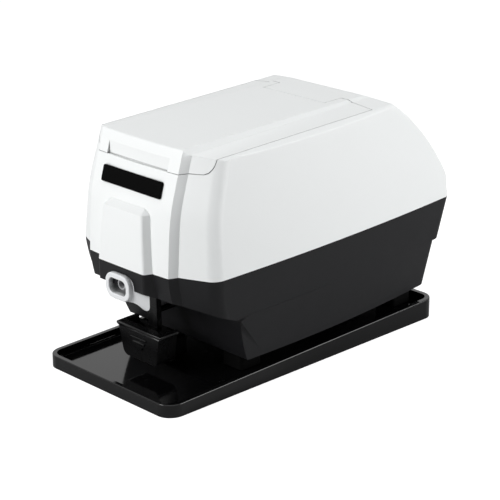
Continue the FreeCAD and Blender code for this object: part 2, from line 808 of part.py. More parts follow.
def make_gland():
    body = rod(gland_radius, V(0, -gland_length / 2, 0), Y_AXIS, gland_length / 2 + 1)
    body = body.fuse(rod(gland_radius + 2.4, V(0, 0.2, 0), Y_AXIS, 2.4))
    body = body.cut(rod(gland_bore, V(0, -20, 0), Y_AXIS, 40))
    return tilted_on_rear(body, gland_x, gland_z)


def make_plate():
    outline = Part.Face(casing_section(base_height, wall + 0.35, 3.0, 1.5)).extrude(V(0, 0, plate_thick))
    plate = outline.cut(chin_cut(wall + 0.35))
    for x, y in joint_posts:
        plate = plate.cut(rod(screw_head_radius + 0.5, V(x, y, 0), Z_AXIS, 60))
    for x, y in plate_posts:
        plate = plate.cut(rod(screw_radius + 0.2, V(x, y, 0), Z_AXIS, 60))
        plate = plate.cut(rod(screw_head_radius + 0.3, V(x, y, 0), Z_AXIS, base_height + 1.4))
    for x, y in feet:
        plate = plate.cut(rod(foot_stud, V(x, y, 0), Z_AXIS, 60))
    for i in range(9):
        y = 62.0 + i * 6.0
        plate = plate.cut(box(-22, 22, y, y + 2.6, 0, 60))
    for x, y in inner_screws:
        plate = plate.cut(rod(screw_radius, V(x, y, 0), Z_AXIS, 60))
    return plate


def make_foot(x, y):
    z0 = tray_rim_height - tray_depth
    block = rounded_block(foot_half, y - foot_half, y + foot_half, 3.0, z0, base_height)
    block.translate(V(x, 0, 0))
    block = block.makeFillet(1.0, edges_where(block, lambda b: b.ZMax < z0 + 0.01))
    stud = rod(foot_stud, V(x, y, base_height), Z_AXIS, plate_thick)
    head = Part.makeCone(foot_stud + 1.0, foot_stud - 0.8, 3.0, V(x, y, plate_top), Z_AXIS)
    return block.fuse(stud).fuse(head)


def make_tray():
    height = tray_rim_height + 10
    dish = rounded_block(tray_width / 2, -tray_length / 2, tray_length / 2, tray_corner, 0, height)
    above = box(-REACH, REACH, -REACH, REACH, tray_rim_height, REACH)
    inner = rounded_block(tray_width / 2 - tray_rim_width, -tray_length / 2 + tray_rim_width,
                          tray_length / 2 - tray_rim_width, tray_corner - tray_rim_width,
                          tray_rim_height - tray_depth, height + 10)
    floor_z = tray_rim_height - tray_depth
    inner = inner.makeFillet(2.0, edges_where(inner, lambda b: b.ZMax < floor_z + 0.01))
    tilt(above)
    tilt(inner)
    dish = dish.cut(above)
    rim = [e for e in dish.Edges if e.BoundBox.ZMin > 2]
    dish = dish.makeFillet(tray_edge_round, [e for e in rim if not is_upright(e)])
    return dish.cut(inner)


def is_upright(edge):
    b = edge.BoundBox
    return b.ZMin < 1


def tilt(shape):
    shape.rotate(V(0, 0, 0), X_AXIS, tray_tilt)
    return shape


# ---- spout and push button -------------------------------------------------------------------
def mouth_loop(y, grow=0.0, drop=0.0):
    low = spout_axis - spout_half_height - grow - drop
    high = spout_axis + spout_half_height + grow - drop
    return upright_loop(spout_half_width + grow, low, high, spout_corner + grow, spout_corner + grow, y)


def make_spout():
    """Mouth and neck that flare into a saddle with two short legs astride the nose."""
    neck_y = spout_face + spout_neck
    rear = spout_face + spout_length
    foot = spout_axis - spout_leg_drop
    neck = Part.makeLoft([mouth_loop(spout_face), mouth_loop(neck_y, 0.4, 0.4)], True, True)
    flare_end = upright_loop(spout_leg_half, foot, foot + 22.0, 5.0, 10.0, rear)
    body = neck.fuse(Part.makeLoft([mouth_loop(neck_y, 0.4, 0.4), flare_end], True, True))
    arch_half = spout_leg_half - spout_leg_width
    arch = upright_loop(arch_half, foot - 30.0, spout_axis - spout_arch, 5.0, 7.0, spout_face)
    body = body.cut(Part.Face(arch).extrude(V(0, 2 * spout_length, 0)))
    body = body.cut(outer_base)
    bore_corner = spout_corner - spout_half_width + spout_bore_half_width
    bore = upright_loop(spout_bore_half_width, spout_axis - spout_bore_half_height,
                        spout_axis + spout_bore_half_height, bore_corner, bore_corner, spout_face - 1)
    body = body.cut(Part.Face(bore).extrude(V(0, spout_bore_depth + 1, 0)))
    body = body.cut(mouth_hole(0, nozzle_axis, nozzle_radius + pin_clearance, spout_face + 2,
                               spout_face + 30))
    for s in (1, -1):
        body = body.fuse(mouth_hole(s * 12, spout_axis + 3, 1.55, spout_face + 3, spout_face + 10))
    return body


def make_button():
    """Bucket shaped lever, open at the top, with a stem up to its pivot."""
    back = button_front + button_depth
    face = [
        V(-button_half_top, button_front, button_top - button_lip_thick),
        V(button_half_top, button_front, button_top - button_lip_thick),
        V(button_half_bottom, button_front, button_bottom),
        V(-button_half_bottom, button_front, button_bottom),
    ]
    body = prism(face, V(0, button_depth, 0))
    lower = edges_where(body, lambda b: b.ZMax < button_bottom + 0.01 and b.YLength > 5)
    body = body.makeFillet(button_corner, lower)
    inner = prism([
        V(-button_half_top + button_wall, button_front + button_wall, button_top + 1),
        V(button_half_top - button_wall, button_front + button_wall, button_top + 1),
        V(button_half_bottom - button_wall, button_front + button_wall, button_bottom + button_wall),
        V(-button_half_bottom + button_wall, button_front + button_wall, button_bottom + button_wall),
    ], V(0, button_depth, 0))
    inner = inner.makeFillet(button_corner - button_wall, edges_where(
        inner, lambda b: b.ZMax < button_bottom + button_wall + 0.01 and b.YLength > 5))
    lean = prism([V(-50, button_front - 0.1, button_top), V(-50, button_front - 5, button_top),
                  V(-50, button_front - 5, button_bottom - 1),
                  V(-50, button_front + button_lean, button_bottom - 1)], V(100, 0, 0))
    body = body.cut(inner).cut(lean)
    z0 = button_top - button_lip_thick
    lip = box(-button_lip_half, button_lip_half, button_front, button_front + button_lip_depth,
              z0, button_top)
    for s in (1, -1):
        x0 = min(s * button_lip_half, s * (button_half_top - button_wall))
        lip = lip.fuse(box(x0, x0 + button_lip_half - button_half_top + button_wall, button_front,
                           back, z0, button_top))
    body = body.fuse(lip)
    for x, z, half_x, half_z in press_mark:
        bar = prism([V(x - half_x, button_front + 1.6, z - half_z),
                     V(x + half_x, button_front + 1.6, z - half_z),
                     V(x + half_x, button_front + 1.6, z + half_z),
                     V(x - half_x, button_front + 1.6, z + half_z)], V(0, -2.0, 0))
        body = body.fuse(bar)
    y0 = pivot_y - stem_lead
    stem = box(-stem_half, stem_half, y0, y0 + stem_thick, button_bottom + 1, pivot_z)
    web = box(-1.5, 1.5, button_front + 1, y0 + 1, button_bottom + 1, button_top - 6)
    hub_half = stem_half + 2
    hub = rod(pivot_hub, V(-hub_half, pivot_y, pivot_z), X_AXIS, 2 * hub_half)
    body = body.fuse(stem).fuse(web).fuse(hub)
    bore = rod(pivot_radius + pin_clearance, V(-30, pivot_y, pivot_z), X_AXIS, 60)
    return body.cut(bore).removeSplitter()


# ---- pushrod and switch ----------------------------------------------------------------------
def make_pushrod():
    tip = Part.makeSphere(rod_radius, V(0, rod_tip_y + rod_radius, rod_z))
    stem = rod(rod_radius, V(0, rod_tip_y + rod_radius, rod_z), Y_AXIS, rod_end_y - rod_tip_y - rod_radius)
    collar = rod(rod_radius + 2.4, V(0, collar_y, rod_z), Y_AXIS, 2.0)
    return tip.fuse(stem).fuse(collar)


def make_return_spring():
    y0 = collar_y + 2.0
    pitch = (bracket_y - y0 - spring_wire) / spring_turns
    start = Part.Wire(Part.makeCircle(spring_wire / 2, V(spring_radius, 0, 0), Y_AXIS))
    turn = Part.Wire(Part.makeHelix(pitch, pitch, spring_radius)).makePipeShell([start], True, True)
    turns = [turn.translated(V(0, 0, i * pitch)) for i in range(spring_turns)]
    spring = turns[0].multiFuse(turns[1:])
    spring.rotate(V(0, 0, 0), X_AXIS, -90)
    spring.translate(V(0, y0 + spring_wire / 2, rod_z))
    return spring


def make_switch_bracket():
    top = rod_z + 7
    plate = box(-10, 10, bracket_y, bracket_y + bracket_thick, plate_top, top)
    foot = box(-16, 16, bracket_y, switch_y + switch_depth + 2, plate_top, plate_top + bracket_thick)
    post = box(-switch_half, switch_half, switch_y + 2, switch_y + switch_depth, plate_top, rod_z - 8)
    body = plate.fuse(foot).fuse(post)
    body = body.cut(mouth_hole(0, rod_z, rod_radius + 0.3, bracket_y - 1, bracket_y + 5))
    for x in (-13.0, 13.0):
        body = body.cut(rod(screw_radius + 0.1, V(x, bracket_screw_y, 0), Z_AXIS, 60))
    for x in (-6.5, 6.5):
        body = body.cut(rod(1.0, V(x, switch_y + 8, rod_z - 16), Z_AXIS, 20))
    return body


def make_switch():
    body = box(-switch_half, switch_half, switch_y, switch_y + switch_depth, rod_z - 8, rod_z + 8)
    body = body.cut(mouth_hole(0, rod_z, plunger_radius + 0.08, switch_y - 1, switch_y + 9.5))
    for x in (-6.5, 6.5):
        body = body.cut(rod(1.1, V(x, switch_y + 8, rod_z - 9), Z_AXIS, 20))
    for x in (-5.0, 5.0):
        body = body.fuse(box(x - 1.5, x + 1.5, switch_y + switch_depth, switch_y + switch_depth + 6,
                             rod_z - 0.4, rod_z + 0.4))
    return body


def make_switch_screw(x):
    shank = rod(1.0, V(x, switch_y + 8, rod_z - 14), Z_AXIS, 22)
    return shank.fuse(rod(2.0, V(x, switch_y + 8, rod_z + 8), Z_AXIS, 1.4))


def make_plunger():
    return mouth_hole(0, rod_z, plunger_radius, rod_end_y + 0.2, switch_y + 5.0)


def make_pivot_pin():
    half = stem_half + 2 + side_play + lug_thick
    return rod(pivot_radius, V(-half, pivot_y, pivot_z), X_AXIS, 2 * half)


# ---- chamber, drive and motor ----------------------------------------------------------------
def along(radius, y0, y1, x=0.0, z=drive_axis):
    return rod(radius, V(x, y0, z), Y_AXIS, y1 - y0)


def polar(count, radius, phase=0.0):
    return [(radius * math.cos(math.radians(phase + 360.0 * i / count)),
             drive_axis + radius * math.sin(math.radians(phase + 360.0 * i / count)))
            for i in range(count)]


flange_screws = polar(3, 17.3, 90)


def make_chamber():
    y0, y1 = chamber_front, chamber_rear
    body = along(chamber_radius, y0, y1).fuse(along(flange_radius, y1 - flange_thick, y1))
    body = body.fuse(box(-heater_x - 6, -10, y0 + 3, y1 - 6, drive_axis - 6, drive_axis + 6))
    body = body.fuse(box(10, heater_x + 2, y0 + 12, y1 - 14, drive_axis - 9, drive_axis + 9))
    body = body.fuse(rod(boss_radius, V(0, feed_y, drive_axis), Z_AXIS, seal_top - drive_axis))
    body = body.cut(along(chamber_bore, y0 + flange_thick, y1 + 1))
    body = body.cut(rod(seal_radius, V(0, feed_y, seal_top - 6), Z_AXIS, 10))
    body = body.cut(rod(spigot_bore, V(0, feed_y, drive_axis), Z_AXIS, 40))
    body = body.cut(along(heater_radius, y0, y1 - 10, -heater_x))
    body = body.cut(along(nozzle_radius, y0 - 1, y0 + flange_thick + 1, 0, nozzle_axis))
    for x, z in flange_screws:
        body = body.cut(along(1.3, y1 - flange_thick - 1, y1 + 1, x, z))
    return body


def make_end_cap():
    y0 = chamber_rear
    body = along(flange_radius, y0, y0 + cap_thick).fuse(along(chamber_bore - 0.1, y0 - 3, y0))
    body = body.cut(along(seal_outer, y0 - 4, y0 + 3)).cut(along(shaft_radius + 0.5, y0, y0 + 20))
    body = body.cut(along(bush_radius, y0 + 4, y0 + cap_thick + 1))
    for x, z in flange_screws:
        body = body.cut(along(1.4, y0 - 5, y0 + 20, x, z))
    return body


def make_shaft_seal():
    y0 = chamber_rear
    return along(seal_outer, y0 - 3, y0 + 3).cut(along(shaft_radius + shaft_play, y0 - 4, y0 + 4))


def make_bush(y0, y1, flange_y):
    body = along(bush_radius, y0, y1)
    body = body.fuse(along(bush_radius + 1.5, flange_y, flange_y + 1.2)) if flange_y else body
    return body.cut(along(shaft_radius + shaft_play, y0 - 9, y1 + 9))


def make_shaft():
    return along(shaft_radius, chamber_front + 8, fan_front + fan_width + 2)


def make_whipper():
    y0, y1 = chamber_front + 6.0, chamber_rear - 5.0
    hub = along(shaft_radius + 2.2, y0, y1)
    blades = []
    for i in range(6):
        y = y0 + 2 + i * 6.2
        plate = box(-2.0, 2.0, y, y + 2.4, drive_axis - whipper_radius, drive_axis + whipper_radius)
        plate.rotate(V(0, 0, drive_axis), Y_AXIS, 30 * i)
        blades.append(plate.common(along(whipper_radius, y - 1, y + 4)))
    return hub.multiFuse(blades).cut(along(shaft_radius, y0 + 2, y1 + 5))


def make_nozzle():
    body = along(nozzle_radius, nozzle_tip, chamber_front + flange_thick, 0, nozzle_axis)
    return body.cut(along(nozzle_bore, nozzle_tip - 1, chamber_front + 9, 0, nozzle_axis))


def make_stay():
    plate = box(-26, 26, stay_front, stay_rear, plate_top, drive_axis + 21)
    plate = plate.cut(box(-18, 18, stay_front - 1, stay_rear + 1, plate_top - 1, drive_axis - 21))
    plate = plate.cut(along(bush_radius + 2.5, stay_front - 1, stay_rear + 1))
    for x, z in flange_screws:
        plate = plate.cut(along(1.5, stay_front - 1, stay_rear + 1, x, z))
    for s in (1, -1):
        x0 = min(s * 18, s * 28)
        plate = plate.fuse(box(x0, x0 + 10, stay_front, stay_front + 17, plate_top, plate_top + 2.5))
        plate = plate.cut(rod(screw_radius + 0.1, V(s * 23, stay_screw_y, 0), Z_AXIS, 60))
    return plate


def make_flange_screw(x, z):
    shank = along(1.3, chamber_rear - flange_thick, stay_rear, x, z)
    return shank.fuse(along(2.4, stay_rear, stay_rear + 1.8, x, z))


def make_heater():
    body = along(heater_radius - 0.02, chamber_front + 4, chamber_rear - 10, -heater_x)
    for z in (drive_axis - 1.6, drive_axis + 1.6):
        body = body.fuse(along(0.7, chamber_front - 4, chamber_front + 5, -heater_x, z))
    return body


def make_thermostat():
    x0 = heater_x + 2
    body = rod(6.5, V(x0, -72, drive_axis), X_AXIS, 4.5).fuse(rod(5.0, V(x0, -72, drive_axis), X_AXIS, 8.5))
    for y in (-75.0, -69.0):
        body = body.fuse(box(x0 + 8, x0 + 15, y - 1.5, y + 1.5, drive_axis - 0.4, drive_axis + 0.4))
    return body


def make_fuse():
    x0 = heater_x + 2
    body = rod(2.0, V(x0 + 2.0, -80, drive_axis - 9.8 + 1.0), Y_AXIS, 14)
    return body.fuse(rod(0.5, V(x0 + 2.0, -84, drive_axis - 8.8), Y_AXIS, 22))


def square_plate(y0, y1):
    z0, z1 = drive_axis - stack_half, drive_axis + stack_half
    body = box(-stack_half, stack_half, y0, y1, z0, z1)
    upright = edges_where(body, lambda b: b.XLength < 0.01 and b.ZLength < 0.01)
    return body.makeFillet(5.0, upright)


def make_stack():
    body = square_plate(stack_front, stack_front + stack_length)
    body = body.cut(along(rotor_radius + rotor_gap, 0, 60))
    for x, z in bolt_places:
        body = body.cut(along(bolt_radius, 0, 60, x, z))
    return body


def make_coil(y0):
    body = along(coil_outer, y0, y0 + coil_length).cut(along(rotor_radius + 1.5, y0 - 1, y0 + 20))
    body = body.makeFillet(1.8, [e for e in body.Edges if abs(e.Length - 2 * math.pi * coil_outer) < 0.1])
    for x, z in bolt_places:
        body = body.cut(along(bolt_radius + 2.6, 0, 60, x, z))
    return body


def make_rotor():
    y0, y1 = stack_front - 0.5, stack_front + stack_length + 0.5
    body = along(rotor_radius, y0, y1)
    groove = ring(rotor_radius + 1, rotor_radius - 0.6, V(0, y0 + 2, drive_axis), Y_AXIS, 1.2)
    far = ring(rotor_radius + 1, rotor_radius - 0.6, V(0, y1 - 3.2, drive_axis), Y_AXIS, 1.2)
    return body.cut(groove).cut(far).cut(along(shaft_radius, y0 - 5, y1 + 5))


def make_end_bracket(y0):
    body = square_plate(y0, y0 + 3)
    body = body.cut(along(bush_radius, y0 - 5, y0 + 8))
    for x, z in polar(4, 15, 0):
        body = body.cut(along(4.0, y0 - 5, y0 + 8, x, z))
    for x, z in bolt_places:
        body = body.cut(along(bolt_radius, y0 - 5, y0 + 8, x, z))
    return body


def make_spacer(x, z, y0, y1):
    return along(bolt_radius + 2.2, y0, y1, x, z).cut(along(bolt_radius + 0.05, y0 - 1, y1 + 1, x, z))


def make_motor_bolt(x, z):
    y0 = motor_front - (stay_thick if z < drive_axis else 0)
    y1 = motor_rear + 3 + (stay_thick if z < drive_axis else 0)
    body = along(bolt_radius - 0.02, y0, y1 + 3.5, x, z).fuse(along(3.2, y0 - 2, y0, x, z))
    return body.fuse(along(3.2, y1, y1 + 2.4, x, z))


def make_cradle():
    y0, y1 = motor_front - stay_thick, motor_rear + 3 + stay_thick
    body = box(-26, 26, y0, y1, plate_top, plate_top + stay_thick)
    for y in (y0, y1 - stay_thick):
        body = body.fuse(box(-26, 26, y, y + stay_thick, plate_top, cradle_top))
    body = body.cut(box(-14, 14, y0 - 1, y1 + 1, plate_top + 12, cradle_top - 12))
    for x, z in bolt_places:
        body = body.cut(along(bolt_radius, y0 - 1, y1 + 1, x, z))
    for x, y in cradle_screws:
        body = body.cut(rod(screw_radius + 0.1, V(x, y, 0), Z_AXIS, 60))
    return body


def make_fan():
    y0 = fan_front
    hub = along(shaft_radius + 3, y0, y0 + fan_width)
    disc = along(fan_radius, y0 + fan_width - 1.5, y0 + fan_width)
    blades = []
    for i in range(fan_blades):
        blade = box(shaft_radius + 2, fan_radius, y0 + 0.5, y0 + fan_width - 1,
                    drive_axis - 0.8, drive_axis + 0.8)
        blade.rotate(V(0, 0, drive_axis), Y_AXIS, 360.0 * i / fan_blades)
        blades.append(blade)
    return hub.fuse(disc).multiFuse(blades).cut(along(shaft_radius, y0 - 5, y0 + 20))


# ---- reservoir -------------------------------------------------------------------------------
def make_tank():
    outer = rounded_block(tank_half, tank_front, tank_rear, tank_corner, tank_bottom, deck_height)
    outer = outer.makeFillet(5.0, edges_where(outer, lambda b: b.ZMax < tank_bottom + 0.01))
    grow = tank_flange
    flange = rounded_block(tank_half + grow, tank_front - grow, tank_rear + grow, tank_corner + grow,
                           deck_height, deck_height + 2)
    inner = rounded_block(tank_half - tank_wall, tank_front + tank_wall, tank_rear - tank_wall,
                          tank_corner - tank_wall, tank_bottom + tank_wall, deck_height + 9)
    inner = inner.makeFillet(3.0, edges_where(inner, lambda b: b.ZMax < tank_bottom + tank_wall + 0.01))
    spigot = rod(spigot_radius, V(0, feed_y, seal_top - 5.5), Z_AXIS, tank_bottom - seal_top + 6)
    body = outer.fuse(flange).cut(inner).fuse(spigot)
    return body.cut(rod(spigot_bore, V(0, feed_y, 90), Z_AXIS, 60))


def make_feed_seal():
    outer = rod(seal_radius, V(0, feed_y, seal_top - 6), Z_AXIS, 6)
    lip = rod(seal_radius + 2.0, V(0, feed_y, seal_top), Z_AXIS, 1.5)
    return outer.fuse(lip).cut(rod(spigot_radius, V(0, feed_y, 90), Z_AXIS, 60))


def make_strainer():
    z0 = tank_bottom + tank_wall
    cup = rod(strainer_radius, V(0, feed_y, z0), Z_AXIS, 10)
    cup = cup.cut(rod(strainer_radius - 1.2, V(0, feed_y, z0 - 1), Z_AXIS, 9.8))
    holes = []
    for reach in (0.0, 4.0, 8.0):
        count = 1 if reach == 0 else int(reach * 1.5)
        for i in range(count):
            a = 2 * math.pi * i / count
            holes.append(rod(0.9, V(reach * math.cos(a), feed_y + reach * math.sin(a), z0 + 8), Z_AXIS, 9))
    for i in range(12):
        slot = box(0, 20, feed_y - 0.5, feed_y + 0.5, z0 + 2, z0 + 7)
        slot.rotate(V(0, feed_y, 0), Z_AXIS, 30 * i + 15)
        holes.append(slot)
    return cup.cut(Part.makeCompound(holes))


def make_terminal_block():
    body = box(16, 44, 84, 98, plate_top, plate_top + 12)
    for i in range(4):
        x = 20.5 + i * 6.4
        body = body.cut(rod(1.9, V(x, 88, plate_top + 9), Z_AXIS, 5))
        body = body.cut(rod(1.9, V(x, 94, plate_top + 9), Z_AXIS, 5))
    return body.cut(rod(screw_radius + 0.1, V(*terminal_screw, 0), Z_AXIS, 60))


def make_badge():
    """Plain plate on the sloping front, below the lid."""
    y0 = casing_front + front_offset(badge_centre)
    slope = (front_offset(badge_centre + 5) - front_offset(badge_centre - 5)) / 10
    plate = box(-badge_half, badge_half, -badge_thick, 3, -badge_height / 2, badge_height / 2)
    corners = edges_where(plate, lambda b: b.XLength < 0.01 and b.ZLength < 0.01)
    plate = plate.makeFillet(1.6, corners)
    plate.rotate(V(0, 0, 0), X_AXIS, -math.degrees(math.atan(slope)))
    plate.translate(V(0, y0 - band_crown, badge_centre))
    return plate.cut(outer_top)


def group(shapes):
    return Part.makeCompound(shapes)


os.makedirs("parts", exist_ok=True)
pins = [rod(hinge_pin_radius, V(x0, hinge_y, hinge_z), X_AXIS, 17.5)
        for x0 in (tongue_half - 10, -tongue_half - 7.5)]
machine = {
    "top_housing": make_top,
    "reservoir_lid": make_lid,
    "base_housing": make_base,
    "bottom_plate": make_plate,
    "badge_plate": make_badge,
    "spout": make_spout,
    "push_button": make_button,
    "pivot_pin": make_pivot_pin,
    "pushrod": make_pushrod,
    "return_spring": make_return_spring,
    "switch_bracket": make_switch_bracket,
    "switch_body": make_switch,
    "switch_plunger": make_plunger,
    "lather_chamber": make_chamber,
    "chamber_end_cap": make_end_cap,
    "shaft_seal": make_shaft_seal,
    "outlet_nozzle": make_nozzle,
    "whipper": make_whipper,
    "drive_shaft": make_shaft,
    "chamber_stay": make_stay,
    "cartridge_heater": make_heater,
    "thermostat": make_thermostat,
    "thermal_fuse": make_fuse,
    "stator_stack": make_stack,
    "rotor": make_rotor,
    "motor_cradle": make_cradle,
    "cooling_fan": make_fan,
    "reservoir_tank": make_tank,
    "feed_seal": make_feed_seal,
    "strainer": make_strainer,
    "terminal_block": make_terminal_block,
    "rocker_frame": make_rocker_frame,
    "rocker_key": make_rocker,
    "cord_gland": make_gland,
    "hinge_pins": lambda: group(pins),
    "rubber_feet": lambda: group([make_foot(x, y) for x, y in feet]),
    "shaft_bushes": lambda: group([
        make_bush(chamber_rear + 4, stay_rear, 0),
        make_bush(motor_front - 3, motor_front + 5, 0),
        make_bush(motor_rear - 2, motor_rear + 6, 0),
    ]),
    "stator_coils": lambda: group([make_coil(stack_front - coil_length),
                                   make_coil(stack_front + stack_length)]),
    "end_brackets": lambda: group([make_end_bracket(motor_front), make_end_bracket(motor_rear)]),
    "motor_spacers": lambda: group([make_spacer(x, z, y0, y1) for x, z in bolt_places
                                    for y0, y1 in ((motor_front + 3, stack_front),
                                                   (stack_front + stack_length, motor_rear))]),
    "motor_bolts": lambda: group([make_motor_bolt(x, z) for x, z in bolt_places]),
    "flange_screws": lambda: group([make_flange_screw(x, z) for x, z in flange_screws]),
    "switch_screws": lambda: group([make_switch_screw(x) for x in (-6.5, 6.5)]),
    "joint_screws": lambda: group([screw(x, y, joint_screw_seat, seam_height + 14 - joint_screw_seat)
                                   for x, y in joint_posts]),
    "plate_screws": lambda: group([screw(x, y, base_height + 1.4, 11) for x, y in plate_posts]),
    "mounting_screws": lambda: group([screw(x, y, plate_top + 2.5 + (0.5 if (x, y) in cradle_screws
                                      else 0), 5.5, False) for x, y in inner_screws[:-1]]
                                     + [screw(*terminal_screw, plate_top + 12, 15, False)]),
}
for name, make in machine.items():
    tilt(make()).exportStep("parts/" + name + ".step")
make_tray().exportStep("parts/drip_tray.step")
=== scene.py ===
import bpy
import bmesh
import json
import math
from mathutils import Matrix, Vector

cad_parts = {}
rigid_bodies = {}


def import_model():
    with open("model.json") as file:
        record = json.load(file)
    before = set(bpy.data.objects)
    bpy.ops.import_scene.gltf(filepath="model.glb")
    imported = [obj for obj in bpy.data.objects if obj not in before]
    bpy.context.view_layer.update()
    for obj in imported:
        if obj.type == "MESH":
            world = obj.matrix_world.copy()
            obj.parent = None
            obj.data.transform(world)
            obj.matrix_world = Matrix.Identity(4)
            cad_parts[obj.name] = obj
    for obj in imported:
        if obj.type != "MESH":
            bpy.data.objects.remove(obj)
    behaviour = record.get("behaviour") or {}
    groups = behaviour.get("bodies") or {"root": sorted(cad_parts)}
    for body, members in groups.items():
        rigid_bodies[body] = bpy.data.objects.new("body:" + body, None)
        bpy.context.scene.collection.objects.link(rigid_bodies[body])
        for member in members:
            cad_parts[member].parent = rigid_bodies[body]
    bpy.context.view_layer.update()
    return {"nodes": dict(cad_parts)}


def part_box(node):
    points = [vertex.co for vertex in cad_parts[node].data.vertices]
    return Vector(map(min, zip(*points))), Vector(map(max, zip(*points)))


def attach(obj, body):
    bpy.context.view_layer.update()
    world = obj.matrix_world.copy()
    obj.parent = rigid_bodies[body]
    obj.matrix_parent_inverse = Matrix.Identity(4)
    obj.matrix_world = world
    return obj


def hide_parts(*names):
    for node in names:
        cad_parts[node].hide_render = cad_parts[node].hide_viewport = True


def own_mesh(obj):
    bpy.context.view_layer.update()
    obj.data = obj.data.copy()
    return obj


# Countertop hot lather machine: white upper casing over a black base, standing on a glossy tray.
# Metres, +Z up, the spout faces -Y.

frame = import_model()
nodes = frame["nodes"]

lean = math.radians(1.3)   # the machine leans forward on its tray
rearward = Vector((0, math.cos(lean), math.sin(lean)))
upward = Vector((0, -math.sin(lean), math.cos(lean)))
facingFront = (math.pi / 2 + lean, 0, 0)   # turn that points local Z at the machine's front

bodyOf = {name: obj.parent.name.split(":")[1] for name, obj in nodes.items()}
slotOf = {name: obj.data.materials[0].name.split(".")[0] for name, obj in nodes.items()}
slotOf.update({"pushrod": "button_black", "outlet_nozzle": "nozzle_grey"})   # dark where they show


def feed(tree, node, inputs):
    # each socket takes another node's output, or a plain value
    for key, value in inputs.items():
        if isinstance(value, bpy.types.NodeSocket):
            tree.links.new(value, node.inputs[key])
        else:
            node.inputs[key].default_value = value


def addNode(tree, kind, inputs=None, **settings):
    node = tree.nodes.new(kind)
    for key, value in settings.items():
        setattr(node, key, value)
    feed(tree, node, inputs or {})
    return node


def calc(tree, operation, *values):
    # the result of one Math node
    return addNode(tree, "ShaderNodeMath", dict(enumerate(values)), operation=operation).outputs[0]


def blend(tree, share, first, second):
    # one colour fading into another
    factor, colourA, colourB, result = 0, 6, 7, 2   # places of the colour sockets on a Mix node
    values = {factor: share, colourA: first, colourB: second}
    return addNode(tree, "ShaderNodeMix", values, data_type="RGBA").outputs[result]


def newSockets(tree, direction, kind, *names):
    for name in names:
        tree.interface.new_socket(name=name, in_out=direction, socket_type="NodeSocket" + kind)


def newMaterial(name):
    mat = bpy.data.materials.new(name)
    mat.use_nodes = True
    tree = mat.node_tree
    tree.nodes.clear()
    shader = addNode(tree, "ShaderNodeBsdfPrincipled")
    out = addNode(tree, "ShaderNodeOutputMaterial", {"Surface": shader.outputs["BSDF"]})
    return mat, tree, shader, out


wearAndPaintedShadeDetail = {
    "driftDetail": 3.0,
    "scuffScale": 60.0,
    "scuffDetail": 4.0,
    "grainDetail": 2.0,
    "edgeFrom": 0.52,      # pointiness where wear begins
    "edgeFull": 0.62,
    "paintedShadeFrom": 0.8,       # openness where the painted shade begins
    "paintedShadeFull": 0.5,
    "paintedShadeSamples": 8,
    # colour of the painted shade in seams, gaps and hollows
    "paintedShadeColour": (0.03, 0.03, 0.03, 1),
}


def handledSurface(detail):
    # colour and roughness drift, worn edges and a fine grain, all on object coordinates, and painted shade:
    # the colour darkened in seams, gaps and hollows where ambient occlusion finds nearby surfaces
    group = bpy.data.node_groups.new("handledSurface", "ShaderNodeTree")
    newSockets(group, "INPUT", "Color", "Colour", "Deep Colour")
    newSockets(group, "INPUT", "Float", "Drift", "Drift Scale", "Grain Scale", "Roughness", "Roughness Drift",
               "Edge Wear", "Seam Grime", "Seam Reach")
    newSockets(group, "OUTPUT", "Color", "Colour")
    newSockets(group, "OUTPUT", "Float", "Roughness", "Height")
    given = addNode(group, "NodeGroupInput").outputs
    spot = addNode(group, "ShaderNodeTexCoord").outputs["Object"]

    drift = addNode(group, "ShaderNodeTexNoise", {
        "Vector": spot, "Scale": given["Drift Scale"], "Detail": detail["driftDetail"]})
    driftShare = calc(group, "MULTIPLY", drift.outputs["Fac"], given["Drift"])
    clean = blend(group, driftShare, given["Colour"], given["Deep Colour"])
    # painted shade: ambient occlusion within the reach darkens the colour in seams, gaps and hollows
    openness = addNode(group, "ShaderNodeAmbientOcclusion", {"Distance": given["Seam Reach"]},
                       samples=detail["paintedShadeSamples"])
    paintedShadeMask = addNode(group, "ShaderNodeMapRange", {
        "Value": openness.outputs["AO"], "From Min": detail["paintedShadeFrom"], "From Max": detail["paintedShadeFull"]})
    paintedShade = calc(group, "MULTIPLY", paintedShadeMask.outputs["Result"], given["Seam Grime"])

    pointed = addNode(group, "ShaderNodeNewGeometry").outputs["Pointiness"]
    edge = addNode(group, "ShaderNodeMapRange", {
        "Value": pointed, "From Min": detail["edgeFrom"], "From Max": detail["edgeFull"]})
    wear = calc(group, "MULTIPLY", edge.outputs["Result"], given["Edge Wear"])
    scuff = addNode(group, "ShaderNodeTexNoise", {
        "Vector": spot, "Scale": detail["scuffScale"], "Detail": detail["scuffDetail"]})
    spread = calc(group, "SUBTRACT", scuff.outputs["Fac"], 0.5)   # the noise swings around 0.5
    rough = calc(group, "MULTIPLY_ADD", spread, given["Roughness Drift"], given["Roughness"])

    grain = addNode(group, "ShaderNodeTexNoise", {
        "Vector": spot, "Scale": given["Grain Scale"], "Detail": detail["grainDetail"]})
    addNode(group, "NodeGroupOutput", {
        "Colour": blend(group, paintedShade, clean, detail["paintedShadeColour"]),
        "Roughness": calc(group, "SUBTRACT", rough, wear),
        "Height": grain.outputs["Fac"]})
    return group


def lookOf(colour, deep, roughness, **more):
    look = {
        "colour": colour,
        "deep": deep,
        "roughness": roughness,
        "drift": 0.5,
        "driftScale": 9.0,
        "roughnessDrift": 0.1,
        "edgeWear": 0.05,
        "grainScale": 1400.0,
        "grain": 0.25,
        "grainDepth": 0.0001,
        # painted shade in seams: none unless a finish asks for it
        "seamGrime": 0.0,
        "seamReach": 0.003,
        "metallic": 0.0,
        "specular": 0.5,
    }
    look.update(more)
    return look


